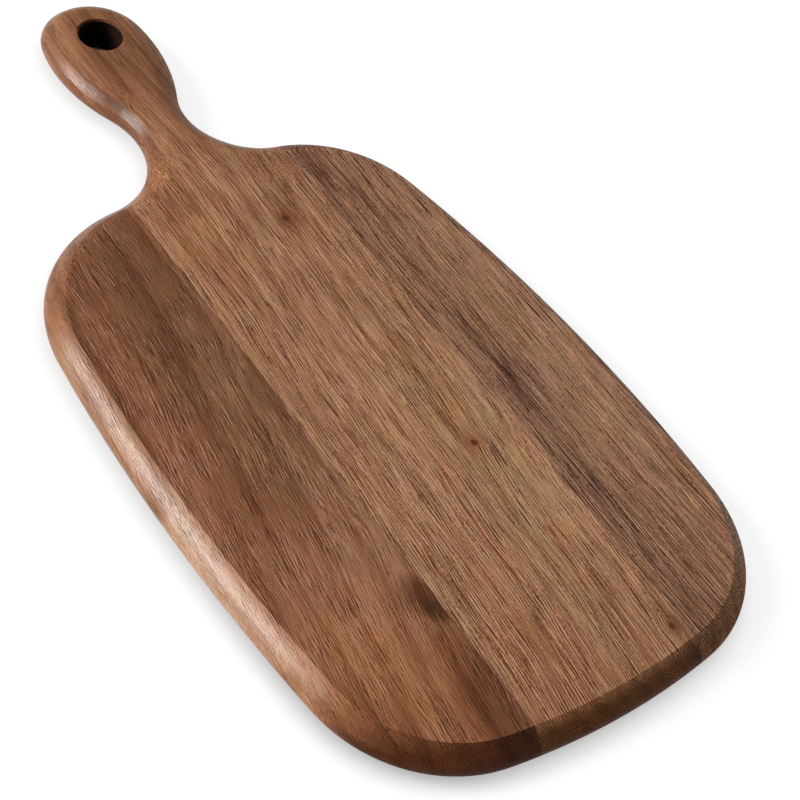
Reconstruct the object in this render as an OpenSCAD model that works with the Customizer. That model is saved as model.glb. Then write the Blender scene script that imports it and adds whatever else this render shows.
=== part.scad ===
// Paddle-shaped serving board: three walnut staves glued edge to edge, with a hanging hole in the handle.
// The outline is a closed chain of tangent arcs, bevelled on both faces and eased along the handle.
// X runs across the board, Y from the body to the handle, Z up from the underside.

/* [Overall] */
// Width of the body at its widest
body_w = 205; // [150:0.5:260]
// Length from the far end of the body to the tip of the handle
overall_l = 400; // [360:0.5:480]
// Thickness of the panel
thickness = 16; // [13:0.5:18]

/* [Body outline] */
// Radius of the bowed far end
end_r = 317; // [250:1:600]
// Radius of the bowed left side
left_side_r = 795; // [500:5:2000]
// Radius of the bowed right side
right_side_r = 655; // [500:5:2000]
// Place of the widest point of the left side, as a share of the way from the far end to the neck
left_peak_share = 0.457; // [0.3:0.001:0.55]
// Place of the widest point of the right side, as a share of the way from the far end to the neck
right_peak_share = 0.349; // [0.3:0.001:0.55]
// Radius of the left corner of the far end
left_corner_r = 58; // [40:0.5:70]
// Radius of the right corner of the far end
right_corner_r = 63; // [40:0.5:70]
// Radius of the left shoulder
left_shoulder_r = 66.5; // [45:0.5:75]
// Radius of the right shoulder
right_shoulder_r = 53.5; // [45:0.5:75]

/* [Handle] */
// Radius of the hollow on the left of the neck
left_neck_r = 36.5; // [25:0.5:38]
// Radius of the hollow on the right of the neck
right_neck_r = 29; // [25:0.5:35]
// Centre of the left hollow, measured out from the middle line
left_neck_x = 45.5; // [44:0.5:52]
// Centre of the right hollow, measured out from the middle line
right_neck_x = 46.5; // [44:0.5:52]
// Centre of the left hollow, measured from the tip of the handle
left_neck_from_tip = 81.5; // [75:0.5:95]
// Centre of the right hollow, measured from the tip of the handle
right_neck_from_tip = 80.5; // [75:0.5:95]
// Radius of the swell on the left of the handle
left_swell_r = 69; // [60:0.5:140]
// Radius of the swell on the right of the handle
right_swell_r = 83; // [60:0.5:140]
// Radius of the handle's tip
head_r = 24; // [18:0.5:30]
// Offset of the handle to the right of the middle line
head_x = 5.5; // [0:0.5:10]

/* [Edges] */
// Width of the bevel on each face, as a share of the thickness
bevel_share = 0.47; // [0.4:0.01:0.48]
// Radius of the bevel's crown, as a share of the thickness
crown_share = 1.375; // [1.3:0.005:1.6]
// Tilt of the bevel where it meets the face, in degrees
bevel_tilt = 28; // [22:1:28]
// Width of the second easing along the handle, as a share of the thickness
ease_share = 0.67; // [0.6:0.01:0.7]
// Radius of the second easing, as a share of the thickness
ease_crown_share = 0.94; // [0.9:0.01:1]
// Tilt of the second easing where it meets the face, in degrees
ease_tilt = 5; // [4:0.5:7]
// Drift of the second easing on a shoulder, where it runs out, as a share of the shoulder's radius
runout_share = 0.13; // [0.1:0.01:0.2]

/* [Hanging hole] */
// Diameter of the hole
hole_d = 19.5; // [10:0.5:24]
// Centre of the hole, measured from the tip of the handle
hole_from_tip = 26; // [22:0.5:32]
// Width of the eased rim of the hole
hole_ease = 0.8; // [0.2:0.1:2]

/* [Staves] */
// Left glue joint, measured out from the middle line
left_joint_x = 36.5; // [25:0.5:45]
// Right glue joint, measured out from the middle line
right_joint_x = 41.5; // [30:0.5:55]
// Thickness of the glue film in a joint
glue_film = 0.2; // [0.1:0.05:0.5]

/* [Hidden] */
$fn = 180;
// Colours of the staves and of the glue
dark_walnut = [0.35, 0.21, 0.13];
light_walnut = [0.48, 0.33, 0.21];
streaked_walnut = [0.42, 0.28, 0.19];
dried_glue = [0.30, 0.19, 0.12];
// Run of the cutting shapes past the surface they cut
overrun = 1;
// Inset of the flat core, as a share of the second easing's width
core_share = 1.05;
// Depth of an edge ring, as a share of the core's inset
ring_share = 1.3;
// Depth of the second easing's ring, as a share of an edge ring's depth
ease_ring_share = 2;
// Straight steps round the discs of a cross-section, when they are drawn as polygons
profile_steps = 36;
// Straight steps of the core along one arc
arc_steps = 5;
// Grid of the coarse step when an arc is moved to its centre
fine_step = 0.001;

half_w = body_w / 2;
half_l = overall_l / 2;
hole_r = hole_d / 2;
half_t = thickness / 2;
bevel_w = bevel_share * thickness;
crown_r = crown_share * thickness;
ease_w = ease_share * thickness;
ease_crown_r = ease_crown_share * thickness;
core_inset = core_share * ease_w;
ring_depth = ring_share * core_inset;
ease_depth = ease_ring_share * ring_depth;
left_peak = left_peak_share * (overall_l - left_neck_from_tip);
right_peak = right_peak_share * (overall_l - right_neck_from_tip);
left_joint = -left_joint_x;
hole_c = [head_x, half_l - hole_from_tip];

// Centres of the upper bevel's crown and of the upper second easing, with the outline at the origin
crown_c = [-bevel_w - crown_r * sin(bevel_tilt), thickness - crown_r * cos(bevel_tilt)];
ease_c = [-ease_w - ease_crown_r * sin(ease_tilt), thickness - ease_crown_r * cos(ease_tilt)];
// Depth of the crown's centre below the middle of the thickness
crown_drop = half_t - crown_c.y;
// Radius of the nose that both bevels run into, and the line where they meet it
nose_r =
    (crown_r * crown_r - crown_c.x * crown_c.x - crown_drop * crown_drop) / (2 * (crown_r + crown_c.x));
nose_seam = crown_c.x - crown_r * (nose_r + crown_c.x) / (crown_r - nose_r);

// Point at distance ra from a and rb from b; turn 1 takes the one on the left, seen from a to b
function meet(a, ra, b, rb, turn) =
    let (
        d = norm(b - a),
        u = (b - a) / d,
        t = (ra * ra - rb * rb + d * d) / (2 * d),
        h = sqrt(ra * ra - t * t)
    ) a + t * u + turn * h * [-u.y, u.x];

// Direction from a to b
function bearing(a, b) = atan2(b.y - a.y, b.x - a.x);

// Turn from one direction to another, always to the left
function turn_left(from, to) = (to - from + 720) % 360;

// Arc centres that the sizes give directly
end_c = [0, end_r - half_l];
head_c = [head_x, half_l - head_r];
left_neck_c = [-left_neck_x, half_l - left_neck_from_tip];
right_neck_c = [right_neck_x, half_l - right_neck_from_tip];
left_side_c = [left_side_r - half_w, left_peak - half_l];
right_side_c = [half_w - right_side_r, right_peak - half_l];

// Arc centres that follow from tangency with both neighbours
left_corner_c = meet(end_c, end_r - left_corner_r, left_side_c, left_side_r - left_corner_r, -1);
right_corner_c = meet(end_c, end_r - right_corner_r, right_side_c, right_side_r - right_corner_r, 1);
left_shoulder_c =
    meet(left_side_c, left_side_r - left_shoulder_r, left_neck_c, left_neck_r + left_shoulder_r, 1);
right_shoulder_c =
    meet(right_side_c, right_side_r - right_shoulder_r, right_neck_c, right_neck_r + right_shoulder_r, -1);
left_swell_c = meet(left_neck_c, left_neck_r + left_swell_r, head_c, left_swell_r - head_r, -1);
right_swell_c = meet(right_neck_c, right_neck_r + right_swell_r, head_c, right_swell_r - head_r, 1);

// One arc of the outline: centre, radius, first direction, sweep, and 1 for a bulge or -1 for a hollow
function bulge(c, r, from, to) = [c, r, from, turn_left(from, to), 1];
function hollow(c, r, from, to) = [c, r, from, -turn_left(to, from), -1];

end_arc = bulge(end_c, end_r, bearing(end_c, left_corner_c), bearing(end_c, right_corner_c));
right_corner_arc = bulge(right_corner_c, right_corner_r,
    bearing(end_c, right_corner_c), bearing(right_side_c, right_corner_c));
right_side_arc = bulge(right_side_c, right_side_r,
    bearing(right_side_c, right_corner_c), bearing(right_side_c, right_shoulder_c));
right_shoulder_arc = bulge(right_shoulder_c, right_shoulder_r,
    bearing(right_side_c, right_shoulder_c), bearing(right_shoulder_c, right_neck_c));
right_neck_arc = hollow(right_neck_c, right_neck_r,
    bearing(right_neck_c, right_shoulder_c), bearing(right_neck_c, right_swell_c));
right_swell_arc = bulge(right_swell_c, right_swell_r,
    bearing(right_swell_c, right_neck_c), bearing(right_swell_c, head_c));
head_arc = bulge(head_c, head_r, bearing(right_swell_c, head_c), bearing(left_swell_c, head_c));
left_swell_arc = bulge(left_swell_c, left_swell_r,
    bearing(left_swell_c, head_c), bearing(left_swell_c, left_neck_c));
left_neck_arc = hollow(left_neck_c, left_neck_r,
    bearing(left_neck_c, left_swell_c), bearing(left_neck_c, left_shoulder_c));
left_shoulder_arc = bulge(left_shoulder_c, left_shoulder_r,
    bearing(left_shoulder_c, left_neck_c), bearing(left_side_c, left_shoulder_c));
left_side_arc = bulge(left_side_c, left_side_r,
    bearing(left_side_c, left_shoulder_c), bearing(left_side_c, left_corner_c));
left_corner_arc = bulge(left_corner_c, left_corner_r,
    bearing(left_side_c, left_corner_c), bearing(end_c, left_corner_c));

// The outline in order, to the left around the board
right_body = [end_arc, right_corner_arc, right_side_arc];
left_body = [left_side_arc, left_corner_arc];
handle = [right_neck_arc, right_swell_arc, head_arc, left_swell_arc, left_neck_arc];
arcs = concat(right_body, [right_shoulder_arc], handle, [left_shoulder_arc], left_body);

// Point on an arc at step k, moved out of the board by off
function arc_point(a, k, off) =
    let (dir = a[2] + a[3] * k / arc_steps)
    a[0] + (a[1] + a[4] * off) * [cos(dir), sin(dir)];

// Points along one arc from its first seam to its last, moved out of the board by off
function arc_line(a, off) = [for (k = [0 : arc_steps]) arc_point(a, k, off)];

// Corners of the flat core, one inset inside the outline
core_points = [for (a = arcs) for (k = [0 : arc_steps - 1]) arc_point(a, k, -core_inset)];

// The same list from back to front
function reversed(list) = [for (i = [len(list) - 1 : -1 : 0]) list[i]];
// The nearest point on the coarse grid
function rounded_off(v) = [for (x = v) round(x / fine_step) * fine_step];

// Moves in a coarse and a fine step, so that the seams between arcs stay closed
module move_to(c) {
    coarse = rounded_off(c);
    translate(coarse)
        translate(c - coarse)
            children();
}

// Overlap of two equal discs, one for each face
module lens(c, r) {
    intersection() {
        translate(c)
            circle(r = r, $fn = profile_steps);
        translate([c.x, thickness - c.y])
            circle(r = r, $fn = profile_steps);
    }
}

// Cross-section of the bevelled edge, with the outline at the origin
module bevel_profile() {
    intersection() {
        translate([-ring_depth, 0])
            square([ring_depth + nose_seam, thickness]);
        lens(crown_c, crown_r);
    }
    intersection() {
        translate([-nose_r, half_t])
            circle(r = nose_r, $fn = profile_steps);
        translate([nose_seam, 0])
            square([overrun - nose_seam, thickness]);
    }
}

// Cross-section of what the second easing leaves, with the outline at the origin
module ease_profile() {
    translate([-ease_depth, -overrun])
        square([ease_depth + ease_c.x, thickness + 2 * overrun]);
    intersection() {
        translate([ease_c.x, -overrun])
            square([ease_crown_r, thickness + 2 * overrun]);
        lens(ease_c, ease_crown_r);
    }
}

// Cross-section of the edge along the handle, with the outline at the origin
module handle_profile() {
    intersection() {
        bevel_profile();
        ease_profile();
    }
}

// Full ring of a cross-section: on its outside for a bulge, on its inside for a hollow
module ring(c, r, side) {
    move_to(c)
        rotate_extrude()
            translate([r, 0])
                if (side > 0)
                    children();
                else
                    mirror([1, 0])
                        children();
}

// Piece of the panel along one arc, between the core and the outline, with a given cross-section
module edge_piece(a) {
    intersection() {
        ring(a[0], a[1], a[4])
            children();
        translate([0, 0, -overrun])
            linear_extrude(thickness + 2 * overrun)
                polygon(concat(arc_line(a, -core_inset), reversed(arc_line(a, bevel_w))));
    }
}

// Piece along a shoulder, where the second easing of the neck runs out
module shoulder_piece(a, neck_dir) {
    runout = runout_share * a[1];
    intersection() {
        edge_piece(a)
            bevel_profile();
        ring(a[0] - runout * [cos(neck_dir), sin(neck_dir)], a[1] + runout, 1)
            ease_profile();
    }
}

// Whole panel before it is parted at the joints
module panel() {
    linear_extrude(thickness)
        polygon(core_points);
    for (a = concat(right_body, left_body))
        edge_piece(a)
            bevel_profile();
    for (a = handle)
        edge_piece(a)
            handle_profile();
    shoulder_piece(right_shoulder_arc, bearing(right_shoulder_c, right_neck_c));
    shoulder_piece(left_shoulder_arc, bearing(left_shoulder_c, left_neck_c));
}

// Part of the panel between two lines along the board
module strip(from, to) {
    intersection() {
        panel();
        translate([from, -overall_l, -overrun])
            cube([to - from, 2 * overall_l, thickness + 2 * overrun]);
    }
}

// Bore of the hanging hole with both rims eased
module hanging_hole() {
    translate([hole_c.x, hole_c.y, -overrun])
        cylinder(r = hole_r, h = thickness + 2 * overrun);
    translate([hole_c.x, hole_c.y, thickness - hole_ease])
        cylinder(r1 = hole_r, r2 = hole_r + hole_ease + overrun, h = hole_ease + overrun);
    translate([hole_c.x, hole_c.y, -overrun])
        cylinder(r1 = hole_r + hole_ease + overrun, r2 = hole_r, h = hole_ease + overrun);
}

module left_stave() {
    color(dark_walnut)
        strip(-body_w, left_joint - glue_film / 2);
}

module centre_stave() {
    color(light_walnut)
        difference() {
            strip(left_joint + glue_film / 2, right_joint_x - glue_film / 2);
            hanging_hole();
        }
}

module right_stave() {
    color(streaked_walnut)
        strip(right_joint_x + glue_film / 2, body_w);
}

module left_glue_line() {
    color(dried_glue)
        strip(left_joint - glue_film / 2, left_joint + glue_film / 2);
}

module right_glue_line() {
    color(dried_glue)
        strip(right_joint_x - glue_film / 2, right_joint_x + glue_film / 2);
}

left_stave();
centre_stave();
right_stave();
left_glue_line();
right_glue_line();
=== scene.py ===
import math
import bpy
from mathutils import Matrix, Vector

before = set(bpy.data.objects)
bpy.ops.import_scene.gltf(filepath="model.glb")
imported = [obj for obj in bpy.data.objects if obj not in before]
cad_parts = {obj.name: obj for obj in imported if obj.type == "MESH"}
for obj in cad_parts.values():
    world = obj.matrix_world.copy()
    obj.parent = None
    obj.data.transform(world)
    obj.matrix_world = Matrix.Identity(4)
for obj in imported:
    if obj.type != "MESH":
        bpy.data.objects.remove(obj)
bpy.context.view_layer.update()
scene = bpy.context.scene
scene.view_settings.view_transform = "Standard"
bpy.ops.object.select_all(action="DESELECT")
print("board loaded:", ", ".join(sorted(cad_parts)))

# camera above and to the left of the wide end, leaning a little to one side
cameraSet = {
    "target": (0.0173974, -0.0432385, 0.0),
    "azimuth": -51.0953,
    "elevation": 47.1144,
    "roll": 20.1655,
    "distance": 0.7283935,
    "lens": 83.328,
    "sensor": 36.0,
    "nearest": 0.01,
}


def addCamera(s):
    az, el, roll = (math.radians(s[k]) for k in ("azimuth", "elevation", "roll"))
    back = Vector((math.sin(az) * math.cos(el), -math.cos(az) * math.cos(el), math.sin(el)))
    level = (-back).cross(Vector((0, 0, 1))).normalized()
    over = level.cross(-back)
    right = math.cos(roll) * level + math.sin(roll) * over
    up = math.cos(roll) * over - math.sin(roll) * level
    turn = Matrix((right, up, back)).transposed().to_4x4()
    bpy.ops.object.camera_add()
    camera = bpy.context.object
    camera.name = "photoCamera"
    camera.matrix_world = Matrix.Translation(Vector(s["target"]) + back * s["distance"]) @ turn
    camera.data.sensor_width = s["sensor"]
    camera.data.lens = s["lens"]
    camera.data.clip_start = s["nearest"]
    scene.camera = camera


addCamera(cameraSet)
print("camera placed")


# short ways to wire nodes: a socket is linked, anything else is typed in
def newNode(tree, kind, **settings):
    node = tree.nodes.new(kind)
    for name, value in settings.items():
        setattr(node, name, value)
    return node


def feed(tree, socket, value):
    if isinstance(value, bpy.types.NodeSocket):
        tree.links.new(value, socket)
    else:
        socket.default_value = value


def calc(tree, operation, *values, clamp=False):
    node = newNode(tree, "ShaderNodeMath", operation=operation, use_clamp=clamp)
    for socket, value in zip(node.inputs, values):
        feed(tree, socket, value)
    return node.outputs[0]


def vectorCalc(tree, operation, *values):
    node = newNode(tree, "ShaderNodeVectorMath", operation=operation)
    for socket, value in zip(node.inputs, values):
        feed(tree, socket, value)
    return node.outputs["Value"] if operation in ("LENGTH", "DOT_PRODUCT") else node.outputs["Vector"]


def easeBetween(tree, value, start, end, low=0.0, high=1.0):
    node = newNode(tree, "ShaderNodeMapRange", interpolation_type="SMOOTHSTEP")
    span = {"Value": value, "From Min": start, "From Max": end, "To Min": low, "To Max": high}
    for name, number in span.items():
        feed(tree, node.inputs[name], number)
    return node.outputs["Result"]


def splitVector(tree, vector):
    node = newNode(tree, "ShaderNodeSeparateXYZ")
    feed(tree, node.inputs[0], vector)
    return node.outputs[0], node.outputs[1], node.outputs[2]


def joinVector(tree, x, y, z):
    node = newNode(tree, "ShaderNodeCombineXYZ")
    for socket, value in zip(node.inputs, (x, y, z)):
        feed(tree, socket, value)
    return node.outputs[0]


def alongGrain(tree, vector, across, along):
    return vectorCalc(tree, "DIVIDE", vector, (across, along, across))


# soft noise about zero; each seed looks at another place in it
seedStep = 7.77


def cloud(tree, vector, seed, detail=2.0, roughness=0.5):
    node = newNode(tree, "ShaderNodeTexNoise", noise_dimensions="3D")
    apart = calc(tree, "MULTIPLY", seed, seedStep)
    feed(tree, node.inputs["Vector"], vectorCalc(tree, "ADD", vector, joinVector(tree, apart, apart, 0.0)))
    node.inputs["Scale"].default_value = 1.0
    node.inputs["Detail"].default_value = detail
    node.inputs["Roughness"].default_value = roughness
    return calc(tree, "SUBTRACT", node.outputs[0], 0.5)


def newGroup(name, inputs, outputs):
    group = bpy.data.node_groups.new(name, "ShaderNodeTree")
    kinds = {"value": "NodeSocketFloat", "vector": "NodeSocketVector"}
    for label, kind, value in inputs:
        socket = group.interface.new_socket(label, in_out="INPUT", socket_type=kinds[kind])
        socket.default_value = value
    for label, kind in outputs:
        group.interface.new_socket(label, in_out="OUTPUT", socket_type=kinds[kind])
    enter = group.nodes.new("NodeGroupInput")
    leave = group.nodes.new("NodeGroupOutput")
    return group, enter.outputs, leave.inputs


def useGroup(tree, group, **values):
    node = newNode(tree, "ShaderNodeGroup", node_tree=group)
    for label, value in values.items():
        feed(tree, node.inputs[label], value)
    return node.outputs


# the usual screen curve undone, from 0 to 255
def fromScreen(colour):
    shares = [level / 255 for level in colour]
    linear = [c / 12.92 if c <= 0.04045 else ((c + 0.055) / 1.055) ** 2.4 for c in shares]
    return (*linear, 1.0)


def multiplied(tree, amount, first, second):
    node = newNode(tree, "ShaderNodeMix", data_type="RGBA", blend_type="MULTIPLY")
    for socket, value in ((node.inputs[0], amount), (node.inputs[6], first), (node.inputs[7], second)):
        feed(tree, socket, value)
    return node.outputs[2]


def inMillimetres(tree, place):
    node = newNode(tree, "ShaderNodeMapping")
    feed(tree, node.inputs["Vector"], place.outputs["Object"])
    node.inputs["Scale"].default_value = (1000, 1000, 1000)
    return node.outputs[0]


# grain lines that lean and wave, in millimetres, straight along Y when done
flowSpans = {"wave": (32, 80), "ripple": (6, 28)}


def makeGrainFlow(spans):
    g, a, out = newGroup(
        "grainFlow",
        (("Vector", "vector", (0, 0, 0)), ("Seed", "value", 0.0), ("Lean", "value", 0.0),
         ("LeanFrom", "value", 0.0), ("LeanEase", "value", 25.0), ("Wave", "value", 10.0),
         ("Ripple", "value", 2.0)),
        (("Vector", "vector"),))

    def sway(span, amount):
        spread = alongGrain(g, a["Vector"], *span)
        return calc(g, "MULTIPLY", cloud(g, spread, a["Seed"], detail=1.0), amount)

    x, y, z = splitVector(g, a["Vector"])
    rise = calc(g, "EXPONENT", calc(g, "DIVIDE", calc(g, "SUBTRACT", a["LeanFrom"], y), a["LeanEase"]))
    lean = calc(g, "MULTIPLY", calc(g, "MULTIPLY", a["Lean"], a["LeanEase"]),
                calc(g, "LOGARITHM", calc(g, "ADD", rise, 1.0), math.e))
    shift = calc(g, "ADD", lean, sway(spans["wave"], a["Wave"]))
    shift = calc(g, "ADD", shift, sway(spans["ripple"], a["Ripple"]))
    feed(g, out["Vector"], joinVector(g, calc(g, "ADD", x, shift), y, z))
    return g


# one pin knot: a dark heart, a warm halo, and grain pushed aside round it
knotEdges = {"squash": 0.7, "heart": (1.15, 0.35), "halo": (4.2, 0.4), "push": (5.0, 0.0)}


def makePinKnot(edges):
    g, a, out = newGroup(
        "pinKnot",
        (("Vector", "vector", (0, 0, 0)), ("Place", "vector", (0, 0, 0)), ("Size", "value", 2.0),
         ("Push", "value", 0.7)),
        (("Vector", "vector"), ("Heart", "value"), ("Halo", "value")))
    x, y, z = splitVector(g, a["Vector"])
    dx, dy, _ = splitVector(g, vectorCalc(g, "SUBTRACT", a["Vector"], a["Place"]))
    lengthways = calc(g, "MULTIPLY", calc(g, "MULTIPLY", dy, dy), edges["squash"])
    squared = calc(g, "ADD", calc(g, "MULTIPLY", dx, dx), lengthways)
    reach = calc(g, "DIVIDE", calc(g, "SQRT", squared), a["Size"])
    feed(g, out["Heart"], easeBetween(g, reach, *edges["heart"]))
    feed(g, out["Halo"], easeBetween(g, reach, *edges["halo"]))
    aside = calc(g, "MULTIPLY", calc(g, "MULTIPLY", dx, easeBetween(g, reach, *edges["push"])), a["Push"])
    feed(g, out["Vector"], joinVector(g, calc(g, "SUBTRACT", x, aside), y, z))
    return g


# growth rings round a pith line beside the stave
ringYear = {
    "span": (14, 110),
    "uneven": 1.5,
    "rise": (0.35, 0.93),
    "drop": (1.0, 0.93),
    "early": (0.55, 0.05),
}


def makeGrowthRings(s):
    g, a, out = newGroup(
        "growthRings",
        (("Vector", "vector", (0, 0, 0)), ("Pith", "vector", (0, 0, 0)), ("Spacing", "value", 7.0),
         ("Seed", "value", 0.0)),
        (("Late", "value"), ("Early", "value")))
    flat = vectorCalc(g, "MULTIPLY", vectorCalc(g, "SUBTRACT", a["Vector"], a["Pith"]), (1, 0, 1))
    count = calc(g, "DIVIDE", vectorCalc(g, "LENGTH", flat), a["Spacing"])
    spread = alongGrain(g, a["Vector"], *s["span"])
    uneven = calc(g, "MULTIPLY", cloud(g, spread, a["Seed"]), s["uneven"])
    year = calc(g, "FRACT", calc(g, "ADD", count, uneven))
    late = calc(g, "MULTIPLY", easeBetween(g, year, *s["rise"]), easeBetween(g, year, *s["drop"]))
    feed(g, out["Late"], late)
    feed(g, out["Early"], easeBetween(g, year, *s["early"]))
    return g


# hair-fine lines, longer streaks and slow cloudy changes of tone and hue
# each layer is its width across, its length along, its seed shift, its detail and its roughness
fibreLayers = {
    "slant": (1.0, 0.0, 0.7),
    "combs": ((0.86, 14.0), (1.18, 16.0)),
    "combSway": (2.4, 34),
    "combSwayTurns": 2.2,
    "combBreak": (1.1, 10),
    "combBreakShift": 0.4,
    "combBreakEase": (-0.16, 0.14),
    "combShare": 0.5,
    "speck": (0.32, 1.6, 2.3, 0.0),
    "speckShare": 0.8,
    "hair": (0.45, 16, 0.0, 0.0),
    "dash": (0.6, 13, 4.1, 0.0),
    "dashEase": (0.1, 0.24),
    "lively": (11, 38, 3.0, 2.0),
    "livelyEase": (-0.16, 0.14),
    "plain": {
        "Streak": (2.0, 85, 5.0, 3.0, 0.6),
        "Cloud": (20, 55, 7.0, 3.0, 0.5),
        "Red": (9, 40, 9.0, 4.0, 0.65),
        "Blue": (9, 30, 12.0, 4.0, 0.65),
    },
}


def makeFibres(s):
    g, a, out = newGroup(
        "fibres",
        (("Vector", "vector", (0, 0, 0)), ("Seed", "value", 0.0)),
        tuple((label, "value") for label in ("Fine", "Dash", "Streak", "Cloud", "Red", "Blue", "Lively")))

    def layer(across, along, shift, detail=1.0, roughness=0.5):
        spread = alongGrain(g, a["Vector"], across, along)
        return cloud(g, spread, calc(g, "ADD", a["Seed"], shift), detail, roughness)

    acrossGrain = vectorCalc(g, "DOT_PRODUCT", a["Vector"], s["slant"])

    def combed(spacing, shift):
        sway = layer(*s["combSway"], shift)
        turns = calc(g, "MULTIPLY_ADD", sway, s["combSwayTurns"], calc(g, "DIVIDE", acrossGrain, spacing))
        lines = calc(g, "SINE", calc(g, "MULTIPLY", turns, 2 * math.pi))
        broken = layer(*s["combBreak"], shift + s["combBreakShift"])
        return calc(g, "MULTIPLY", lines, easeBetween(g, broken, *s["combBreakEase"]))

    lines = calc(g, "ADD", *(combed(spacing, shift) for spacing, shift in s["combs"]))
    hairs = calc(g, "MULTIPLY_ADD", layer(*s["speck"]), s["speckShare"], layer(*s["hair"]))
    feed(g, out["Fine"], calc(g, "MULTIPLY_ADD", lines, s["combShare"], hairs))
    feed(g, out["Dash"], easeBetween(g, layer(*s["dash"]), *s["dashEase"]))
    feed(g, out["Lively"], easeBetween(g, layer(*s["lively"]), *s["livelyEase"]))
    for label, plain in s["plain"].items():
        feed(g, out[label], layer(*plain))
    return g


# open pores: short dark dashes, thickest in the early wood
poreEdges = {"earlyMiddle": 0.5, "earlyShare": 0.6, "chance": (0.0, 0.35), "round": (0.36, 0.12)}


def makePores(edges):
    g, a, out = newGroup(
        "pores",
        (("Vector", "vector", (0, 0, 0)), ("Early", "value", 0.5), ("Width", "value", 1.0),
         ("Length", "value", 9.0), ("Share", "value", 0.6)),
        (("Pore", "value"),))
    cell = newNode(g, "ShaderNodeTexVoronoi", voronoi_dimensions="3D", feature="F1")
    cellSize = joinVector(g, a["Width"], a["Length"], a["Width"])
    feed(g, cell.inputs["Vector"], vectorCalc(g, "DIVIDE", a["Vector"], cellSize))
    cell.inputs["Scale"].default_value = 1.0
    luck = splitVector(g, cell.outputs["Color"])[0]
    early = calc(g, "SUBTRACT", a["Early"], edges["earlyMiddle"])
    chance = calc(g, "ADD", a["Share"], calc(g, "MULTIPLY", early, edges["earlyShare"]))
    there = easeBetween(g, calc(g, "SUBTRACT", chance, luck), *edges["chance"])
    near = easeBetween(g, cell.outputs["Distance"], *edges["round"])
    feed(g, out["Pore"], calc(g, "MULTIPLY", near, there))
    return g


# one soft patch, full in the middle and gone at its reach
patchEdge = (1.0, 0.25)


def makeSoftPatch(edge):
    g, a, out = newGroup(
        "softPatch",
        (("Vector", "vector", (0, 0, 0)), ("Place", "vector", (0, 0, 0)), ("Turn", "vector", (0, 0, 0)),
         ("Reach", "vector", (1, 1, 1))),
        (("Fall", "value"),))
    spot = newNode(g, "ShaderNodeMapping", vector_type="TEXTURE")
    sources = {"Vector": "Vector", "Location": "Place", "Rotation": "Turn", "Scale": "Reach"}
    for label, source in sources.items():
        feed(g, spot.inputs[label], a[source])
    feed(g, out["Fall"], easeBetween(g, vectorCalc(g, "LENGTH", spot.outputs[0]), *edge))
    return g


grainFlow = makeGrainFlow(flowSpans)
pinKnot = makePinKnot(knotEdges)
growthRings = makeGrowthRings(ringYear)
fibres = makeFibres(fibreLayers)
pores = makePores(poreEdges)
softPatch = makeSoftPatch(patchEdge)
print("grain groups made")

# places in millimetres in the board's own frame, colours as seen on a screen
# a patch is its place, turn in degrees, reach and change of tone; a tint ends in changes of red and blue
leftStave = {
    "lean": (0.15, 40.0, 18.0),
    "wave": 8.0,
    "ripple": 1.1,
    "seed": 11.0,
    "pith": (-150.0, 0.0, -55.0),
    "ringSpacing": 11.0,
    "palette": ((70, 41, 25), (95, 57, 36), (123, 79, 54), (145, 98, 71), (172, 127, 99)),
    "fine": 0.66,
    "short": 2.3,
    "narrow": 1.0,
    "calm": 0.5,
    "dash": 0.1,
    # the next three: painted light and painted sheen on the left flank, less of it on the shoulder
    "paintedFlankShading": 0.3,
    "paintedSheenTint": (1.18, 1.44, 1.62, 1.0),
    "shoulder": 0.15,
    "endGrain": (0.33, 0.24, 0.13, 1.0),
    "endTurn": (-0.14, -0.52),
    "specular": 0.145,
    "knots": (),
    "tints": (
        ((-90, -30, 8), 0, (22, 150, 60), 0.03, 0.03),
        ((-46, -172, 8), 10, (18, 45, 60), 0.06, -0.06),
        ((-78, -158, 8), 20, (42, 62, 60), 0.1, -0.15),
        ((-50, -15, 8), 0, (27, 115, 60), -0.07, 0.03),
    ),
    "patches": (
        ((-60, -120, 8), 30, (45, 140, 60), 0.18),
        ((-81, 7, 8), 27, (42, 135, 60), -0.17),
        ((-44, -182, 8), 8, (17, 56, 60), -0.26),
        ((-35, -131, 8), 3, (20, 15, 60), -0.45),
        ((-38, -137, 8), 0, (8, 7, 60), -0.25),
        ((-65, -74, 8), -8, (27, 31, 60), -0.10),
        ((-83, -12, 8), 8, (16, 100, 60), 0.18),
        ((-94, -183, 8), 0, (29, 58, 60), -0.33),
        ((-102, -48, 7), 0, (9, 11, 12), -0.28),
        ((-101, -133, 7), 0, (9, 10, 12), -0.22),
    ),
}
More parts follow.
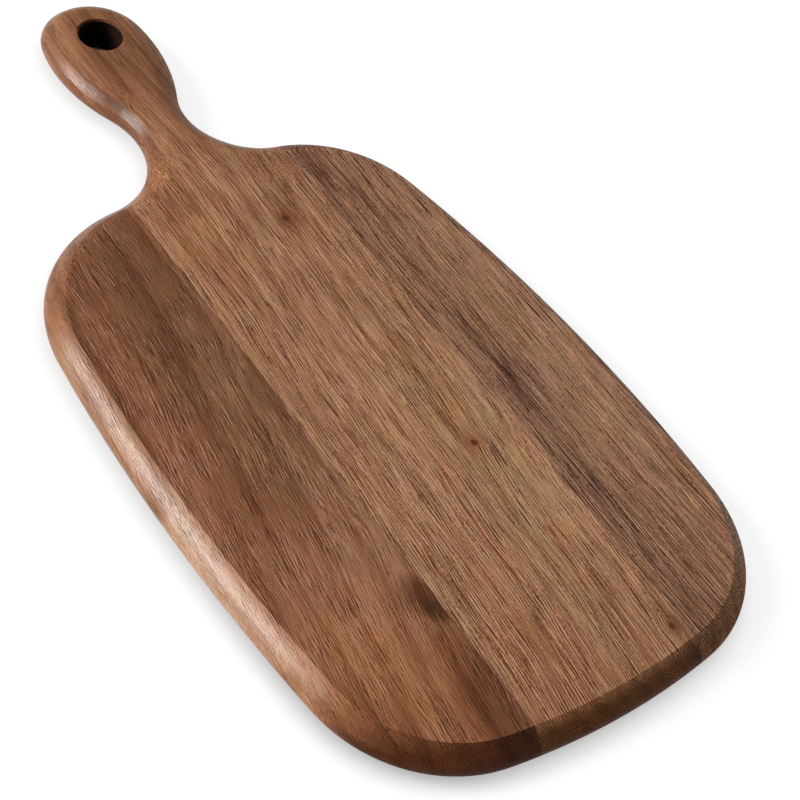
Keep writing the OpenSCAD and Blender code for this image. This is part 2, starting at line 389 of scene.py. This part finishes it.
centreStave = {
    "lean": (0.09, 25.0, 22.0),
    "wave": 6.0,
    "ripple": 0.9,
    "seed": 23.0,
    "pith": (-95.0, 0.0, -70.0),
    "ringSpacing": 8.0,
    "palette": ((86, 51, 31), (118, 75, 49), (148, 101, 71), (169, 122, 89), (192, 147, 113)),
    "fine": 1.42,
    "short": 1.2,
    "narrow": 1.08,
    "calm": 0.6,
    "dash": 0.1,
    # the next three: painted shade on the left flank of the neck and handle
    "paintedFlankShading": -0.2,
    "paintedSheenTint": (1.0, 1.0, 1.05, 1.0),
    "shoulder": 1.0,
    "endGrain": (0.34, 0.245, 0.09, 1.0),
    "endTurn": (-0.38, -0.68),
    "specular": 0.17,
    "tints": (
        ((20, -90, 8), 4, (28, 120, 60), -0.06, -0.05),
        ((20, -82, 8), 0, (8, 12, 60), 0.08, 0.0),
        ((20, -145, 8), 8, (3, 55, 60), 0.09, 0.0),
        ((-3, -125, 8), 8, (3, 80, 60), 0.09, 0.0),
        ((-20, -175, 8), 0, (22, 40, 60), 0.05, -0.03),
        ((-20, 62, 8), 0, (24, 60, 60), 0.05, -0.06),
    ),
    "knots": (((20.0, -82.0, 0.0), 1.4), ((19.0, 47.5, 0.0), 1.4), ((36.0, -182.5, 0.0), 1.4)),
    "patches": (
        ((21, 166, 8), -11, (42, 140, 60), -0.28),
        ((-1, -82, 8), -2, (45, 140, 60), 0.08),
        ((-8, -209, 8), -1, (45, 86, 60), -0.10),
        ((-14, 86, 8), 5, (12, 140, 60), -0.07),
        ((39, -88, 8), 4, (15, 112, 60), 0.18),
        ((21, -82, 8), 0, (11, 15, 60), -0.15),
        ((41, -194, 8), -15, (13, 28, 60), -0.22),
        ((23, 53, 8), 30, (12, 22, 60), -0.15),
        ((33, -26, 8), 8, (2, 52, 60), -0.25),
        ((20, -145, 8), 8, (2, 52, 60), -0.22),
        ((-3, -125, 8), 8, (2, 75, 60), -0.18),
        ((-24, 75, 8), 0, (15, 26, 60), -0.14),
        ((-22, -108, 8), 8, (15, 34, 60), 0.09),
        ((27, -125, 8), 5, (15, 44, 60), 0.08),
        ((-5, 150, 8), 8, (10, 38, 60), -0.14),
    ),
}
rightStave = {
    "lean": (0.02, 0.0, 30.0),
    "wave": 3.0,
    "ripple": 0.5,
    "seed": 37.0,
    "pith": (190.0, 0.0, -30.0),
    "ringSpacing": 8.0,
    "palette": ((68, 44, 33), (100, 67, 49), (132, 93, 70), (156, 114, 87), (183, 139, 110)),
    "fine": 1.5,
    "short": 1.0,
    "narrow": 1.2,
    "calm": 0.8,
    "dash": 0.1,
    "paintedFlankShading": 0.0,
    "paintedSheenTint": (1.0, 1.0, 1.0, 1.0),
    "shoulder": 1.0,
    "endGrain": (0.85, 0.79, 0.66, 1.0),
    "endTurn": (-0.3, -0.7),
    "specular": 0.04,
    "knots": (),
    "tints": (((52, -100, 8), 3, (12, 120, 60), -0.06, 0.06),),
    "patches": (
        ((82, -53, 8), 3, (18, 140, 60), 0.2),
        ((51, -102, 8), 3, (9, 140, 60), -0.16),
        ((47, 108, 8), -5, (13, 140, 60), -0.24),
        ((58, -179, 8), 19, (27, 59, 60), -0.08),
        ((107, -168, 8), -34, (20, 140, 60), 0.07),
        ((85, 63, 8), 10, (13, 96, 60), 0.13),
        ((52, -125, 8), 2, (4, 16, 60), -0.22),
        ((54, -68, 8), 2, (4, 24, 60), -0.22),
    ),
}

# the hanging hole with its eased mouth, in millimetres
hole = {"place": (5.5, 174.0), "radius": 10.3}

# the oiled finish that the staves share, with painted light and shade on the flanks and far rim and painted
# shade in the hole; a turn is a range of one part of the surface normal
finishAndPaintedLight = {
    "middle": 0.655,
    "liveliest": 1.15,
    "handleFrom": (70, 115),
    "handleCalm": 0.4,
    "sideTurn": (0.35, 0.9),
    "sideCalm": 0.45,
    "crossTurn": (0.15, 0.8),
    "crossCalm": 0.35,
    "knotCalm": 0.25,
    "darkSkew": 0.3,
    "streak": 0.5,
    "cloud": 0.2,
    "late": 0.16,
    "pore": 0.08,
    "red": 0.3,
    "blue": 0.5,
    "driftSpan": (14, 40),
    "driftX": (13, 7.0),
    "driftY": (15, 16.0),
    "headTurn": (0.3, 0.9),
    "headShare": 0.2,
    # the next three: where the painted light and shade of the flanks lie
    "flankTurn": (-0.25, -0.7),
    "flankFrom": (-172, -105),
    "shoulderFrom": (15, 50),
    # the next two: painted light on the far rim
    "rimTurn": (0.2, 0.75),
    "rim": 0.24,
    "halo": 0.2,
    "heart": 0.7,
    # the next three: painted shade inside the hanging hole
    "boreEdge": 0.4,
    "boreMouth": (15.6, 14.6),
    "borePaintedShade": (0.1, 0.08, 0.06, 1.0),
    "mouthRing": (1.8, 0.9),
    "mouthDull": 0.6,
    "roughness": 0.25,
    "roughFine": 0.17,
    "endDull": 0.35,
    "rimDull": 0.35,
    "neckFrom": (85, 125),
    "handleDull": 0.04,
    "poreDull": 0.12,
    "bump": 0.04,
    "bumpDepth": 0.001,
    "poreDepth": 0.5,
}


def patchFall(t, vector, spot, turn, reach):
    turned = (0, 0, math.radians(-turn))
    return useGroup(t, softPatch, Vector=vector, Place=spot, Turn=turned, Reach=reach)["Fall"]


# the grain of one stave, with its knots: fibres, rings and pores
def growGrain(t, s, board):
    grain = board
    knots = []
    for spot, size in s["knots"]:
        knots.append(useGroup(t, pinKnot, Vector=grain, Place=spot, Size=size))
        grain = knots[-1]["Vector"]
    lean, leanFrom, leanEase = s["lean"]
    grain = useGroup(t, grainFlow, Vector=grain, Lean=lean, LeanFrom=leanFrom, LeanEase=leanEase,
                     Wave=s["wave"], Ripple=s["ripple"], Seed=s["seed"])["Vector"]
    rings = useGroup(t, growthRings, Vector=grain, Pith=s["pith"], Spacing=s["ringSpacing"], Seed=s["seed"])
    drawn = vectorCalc(t, "MULTIPLY", grain, (s["narrow"], s["short"], s["narrow"]))
    fibre = useGroup(t, fibres, Vector=drawn, Seed=s["seed"])
    pore = useGroup(t, pores, Vector=grain, Early=rings["Early"])["Pore"]
    return fibre, rings, pore, knots


# fine lines, a little darker than pale, from fibres, dashes and pores
def fineLines(t, s, f, fibre, pore):
    lines = calc(t, "MULTIPLY", fibre["Fine"], s["fine"])
    lines = calc(t, "MULTIPLY_ADD", calc(t, "ABSOLUTE", lines), -f["darkSkew"], lines)
    lines = calc(t, "MULTIPLY_ADD", fibre["Dash"], -s["dash"], lines)
    return calc(t, "MULTIPLY_ADD", pore, -f["pore"], lines)


# how strongly the lines show: less on the handle, the sides, the ends and round knots
def lineStrength(t, s, f, fibre, knots, y, towardX, towardY):
    strength = easeBetween(t, fibre["Lively"], 0.0, 1.0, s["calm"], f["liveliest"])
    calms = [
        easeBetween(t, y, *f["handleFrom"], 1.0, f["handleCalm"]),
        easeBetween(t, calc(t, "ABSOLUTE", towardY), *f["crossTurn"], 1.0, f["crossCalm"]),
        easeBetween(t, calc(t, "ABSOLUTE", towardX), *f["sideTurn"], 1.0, f["sideCalm"]),
    ]
    calms += [easeBetween(t, knot["Halo"], 0.0, 1.0, 1.0, f["knotCalm"]) for knot in knots]
    for calm in calms:
        strength = calc(t, "MULTIPLY", strength, calm)
    return strength


# places that wander a little, so that patches have no clean edge
def wander(t, s, f, board):
    def drift(shift, amount):
        spread = alongGrain(t, board, *f["driftSpan"])
        return calc(t, "MULTIPLY", cloud(t, spread, s["seed"] + shift), amount)

    return vectorCalc(t, "ADD", board, joinVector(t, drift(*f["driftX"]), drift(*f["driftY"]), 0.0))


def paletteRamp(t, tone, palette):
    ramp = newNode(t, "ShaderNodeValToRGB")
    stops = ramp.color_ramp.elements
    last = len(palette) - 1
    for i in range(1, last):
        stops.new(i / last)
    for i, colour in enumerate(palette):
        stops[i].position = i / last
        stops[i].color = fromScreen(colour)
    feed(t, ramp.inputs[0], tone)
    return ramp.outputs[0]


# slow changes of hue, and the listed tints
def tinted(t, s, f, colour, fibre, drifted):
    red = calc(t, "MULTIPLY_ADD", fibre["Red"], f["red"], 1.0)
    blue = calc(t, "MULTIPLY_ADD", fibre["Blue"], f["blue"], 1.0)
    for spot, turn, reach, moreRed, moreBlue in s["tints"]:
        fall = patchFall(t, drifted, spot, turn, reach)
        red = calc(t, "MULTIPLY_ADD", fall, moreRed, red)
        blue = calc(t, "MULTIPLY_ADD", fall, moreBlue, blue)
    return multiplied(t, 1.0, colour, joinVector(t, red, 1.0, blue))


def walnut(name, s, f):
    material = bpy.data.materials.new(name)
    material.use_nodes = True
    t = material.node_tree
    t.nodes.clear()
    place = newNode(t, "ShaderNodeTexCoord")
    board = inMillimetres(t, place)
    x, y, z = splitVector(t, board)
    towardX, towardY, _ = splitVector(t, place.outputs["Normal"])
    fibre, rings, pore, knots = growGrain(t, s, board)
    lines = fineLines(t, s, f, fibre, pore)
    drifted = wander(t, s, f, board)

    # masks for the sawn ends, for the painted light and shade on the left flank and for the painted light on
    # the far rim
    endGrain = calc(t, "MAXIMUM", easeBetween(t, towardY, *s["endTurn"]),
                    easeBetween(t, towardY, *f["headTurn"], 0.0, f["headShare"]))
    paintedFlankShading = calc(t, "MULTIPLY", easeBetween(t, towardX, *f["flankTurn"]), easeBetween(t, y, *f["flankFrom"]))
    paintedFlankShading = calc(t, "MULTIPLY", paintedFlankShading, easeBetween(t, y, *f["shoulderFrom"], 1.0, s["shoulder"]))
    # the far rim: painted light in its tone, and a duller finish
    rim = easeBetween(t, towardX, *f["rimTurn"])

    # tone from dark at 0 to pale at 1
    strength = lineStrength(t, s, f, fibre, knots, y, towardX, towardY)
    tone = calc(t, "MULTIPLY_ADD", lines, strength, f["middle"])
    shares = [(fibre["Streak"], f["streak"]), (fibre["Cloud"], f["cloud"]), (rings["Late"], -f["late"])]
    for spot, turn, reach, share in s["patches"]:
        shares.append((patchFall(t, drifted, spot, turn, reach), share))
    # painted light on the left flank, painted shade where a stave's share is below zero, and painted light
    # on the far rim
    shares += [(paintedFlankShading, s["paintedFlankShading"]), (rim, f["rim"])]
    for knot in knots:
        shares += [(knot["Halo"], -f["halo"]), (knot["Heart"], -f["heart"])]
    for mask, share in shares:
        tone = calc(t, "MULTIPLY_ADD", mask, share, tone)

    colour = tinted(t, s, f, paletteRamp(t, tone, s["palette"]), fibre, drifted)
    # a paler, bluer tint on the left flank: painted sheen
    colour = multiplied(t, paintedFlankShading, colour, s["paintedSheenTint"])
    colour = multiplied(t, endGrain, colour, s["endGrain"])
    # painted shade inside the hanging hole: the wall below its mouth is darkened nearly to black
    boreX, boreY = hole["place"]
    boreR = hole["radius"]
    fromBore = joinVector(t, calc(t, "SUBTRACT", x, boreX), calc(t, "SUBTRACT", y, boreY), 0.0)
    off = vectorCalc(t, "LENGTH", fromBore)
    paintedHoleShade = calc(t, "MULTIPLY", easeBetween(t, off, boreR + f["boreEdge"], boreR - f["boreEdge"]),
                easeBetween(t, z, *f["boreMouth"]))
    colour = multiplied(t, paintedHoleShade, colour, f["borePaintedShade"])

    rough = calc(t, "MULTIPLY_ADD", lines, -f["roughFine"], f["roughness"])
    rough = calc(t, "MULTIPLY_ADD", endGrain, f["endDull"], rough)
    rough = calc(t, "MULTIPLY_ADD", rim, f["rimDull"], rough)
    ringOut, ringIn = f["mouthRing"]
    rough = calc(t, "ADD", rough, easeBetween(t, off, boreR + ringOut, boreR + ringIn, 0.0, f["mouthDull"]))
    rough = calc(t, "ADD", rough, easeBetween(t, y, *f["neckFrom"], 0.0, f["handleDull"]))
    rough = calc(t, "MULTIPLY_ADD", pore, f["poreDull"], rough, clamp=True)
    bump = newNode(t, "ShaderNodeBump")
    bump.inputs["Strength"].default_value = f["bump"]
    bump.inputs["Distance"].default_value = f["bumpDepth"]
    feed(t, bump.inputs["Height"], calc(t, "MULTIPLY_ADD", pore, -f["poreDepth"], lines))

    shader = newNode(t, "ShaderNodeBsdfPrincipled")
    shader.inputs["Specular IOR Level"].default_value = s["specular"]
    feed(t, shader.inputs["Base Color"], colour)
    feed(t, shader.inputs["Roughness"], rough)
    feed(t, shader.inputs["Normal"], bump.outputs[0])
    end = newNode(t, "ShaderNodeOutputMaterial")
    feed(t, end.inputs[0], shader.outputs[0])
    return material


# dried glue that took up some colour from the wood on both sides
glueFilm = {
    "colour": (72, 46, 31),
    "paler": (94, 63, 43),
    "span": (3, 9),
    "contrast": 2.0,
    "roughness": 0.45,
    "roughPatchy": 0.3,
    "seed": 4.0,
}


def driedGlue(s):
    material = bpy.data.materials.new("driedGlue")
    material.use_nodes = True
    t = material.node_tree
    shader = t.nodes["Principled BSDF"]
    board = inMillimetres(t, newNode(t, "ShaderNodeTexCoord"))
    patchy = cloud(t, alongGrain(t, board, *s["span"]), s["seed"], detail=3.0)
    mix = newNode(t, "ShaderNodeMix", data_type="RGBA")
    feed(t, mix.inputs[0], calc(t, "MULTIPLY_ADD", patchy, s["contrast"], 0.5, clamp=True))
    mix.inputs[6].default_value = fromScreen(s["colour"])
    mix.inputs[7].default_value = fromScreen(s["paler"])
    feed(t, shader.inputs["Base Color"], mix.outputs[2])
    feed(t, shader.inputs["Roughness"], calc(t, "MULTIPLY_ADD", patchy, s["roughPatchy"], s["roughness"]))
    return material


def dress(node, material):
    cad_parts[node].material_slots[0].material = material


dress("left_stave", walnut("leftWalnut", leftStave, finishAndPaintedLight))
dress("centre_stave", walnut("centreWalnut", centreStave, finishAndPaintedLight))
dress("right_stave", walnut("rightWalnut", rightStave, finishAndPaintedLight))
glue = driedGlue(glueFilm)
dress("left_glue_line", glue)
dress("right_glue_line", glue)
print("wood and glue dressed")

# white floor whose colour and glow carry a painted close shadow, a long soft strip light on the left and a
# weak fill
studio = {
    "floorSize": 12.0,
    "floor": (0.85, 0.85, 0.85, 1.0),
    "seenFloor": (0.22, 0.22, 0.22, 1.0),
    "glow": 0.84,
    "shadowReach": 0.0105,
    "shadowDark": (0.42, 0.74),
    "shadowFade": (-0.2, 0.05),
    "shadowSamples": 16,
    "holeMargin": 0.2,
    "holeSoft": 2.0,
    "holeDark": 0.02,
    "skyStrength": 0.26,
    "strip": {"place": (-3.6, 2.3, 2.7), "size": (1.3, 2.5), "power": 325.0},
    "fill": {"toward": (0.75, -0.1, 0.62), "strength": 0.3, "spread": 50.0},
}


def paperMaterial(s):
    paper = bpy.data.materials.new("palePaper")
    paper.use_nodes = True
    t = paper.node_tree
    t.nodes.clear()
    plain = newNode(t, "ShaderNodeBsdfDiffuse")
    plain.inputs["Color"].default_value = s["floor"]
    lit = newNode(t, "ShaderNodeBsdfDiffuse")
    # painted contact shadow: ambient occlusion darkens the floor's colour and glow, more towards the wide
    # end
    closeBy = newNode(t, "ShaderNodeAmbientOcclusion", samples=s["shadowSamples"])
    closeBy.inputs["Distance"].default_value = s["shadowReach"]
    place = newNode(t, "ShaderNodeTexCoord")
    fromHole = vectorCalc(t, "SUBTRACT", inMillimetres(t, place), (*hole["place"], 0))
    y = splitVector(t, place.outputs["Object"])[1]
    darkest = easeBetween(t, y, *s["shadowFade"], *s["shadowDark"])
    openSky = easeBetween(t, closeBy.outputs["AO"], 0.0, 1.0, darkest, 1.0)
    # painted shadow on the floor under the hanging hole
    holeR = hole["radius"] + s["holeMargin"]
    off = vectorCalc(t, "LENGTH", fromHole)
    clear = easeBetween(t, off, holeR, holeR + s["holeSoft"], s["holeDark"], 1.0)
    openSky = calc(t, "MULTIPLY", openSky, clear)
    feed(t, lit.inputs["Color"], multiplied(t, 1.0, s["seenFloor"], openSky))
    glow = newNode(t, "ShaderNodeEmission")
    feed(t, glow.inputs["Strength"], calc(t, "MULTIPLY", openSky, s["glow"]))
    seen = newNode(t, "ShaderNodeAddShader")
    feed(t, seen.inputs[0], lit.outputs[0])
    feed(t, seen.inputs[1], glow.outputs[0])
    rays = newNode(t, "ShaderNodeLightPath")
    mirrored = calc(t, "MAXIMUM", rays.outputs["Is Glossy Ray"], rays.outputs["Is Transmission Ray"])
    looked = calc(t, "MAXIMUM", rays.outputs["Is Camera Ray"], mirrored)
    mix = newNode(t, "ShaderNodeMixShader")
    for socket, value in zip(mix.inputs, (looked, plain.outputs[0], seen.outputs[0])):
        feed(t, socket, value)
    end = newNode(t, "ShaderNodeOutputMaterial")
    feed(t, end.inputs[0], mix.outputs[0])
    return paper


def addStudio(s):
    bpy.ops.mesh.primitive_plane_add(size=s["floorSize"])
    floor = bpy.context.object
    floor.name = "paleFloor"
    floor.data.materials.append(paperMaterial(s))
    bpy.ops.object.light_add(type="AREA", location=s["strip"]["place"])
    strip = bpy.context.object
    strip.name = "stripLight"
    strip.rotation_euler = (0, -math.atan2(-s["strip"]["place"][0], s["strip"]["place"][2]), 0)
    strip.data.shape = "RECTANGLE"
    strip.data.size, strip.data.size_y = s["strip"]["size"]
    strip.data.energy = s["strip"]["power"]
    bpy.ops.object.light_add(type="SUN")
    fill = bpy.context.object
    fill.name = "weakFill"
    fill.rotation_euler = Vector(s["fill"]["toward"]).to_track_quat("Z", "Y").to_euler()
    fill.data.energy = s["fill"]["strength"]
    fill.data.angle = math.radians(s["fill"]["spread"])
    world = bpy.data.worlds.new("softRoom")
    world.use_nodes = True
    world.node_tree.nodes["Background"].inputs["Color"].default_value = (1, 1, 1, 1)
    world.node_tree.nodes["Background"].inputs["Strength"].default_value = s["skyStrength"]
    scene.world = world


addStudio(studio)
print("floor and light ready")
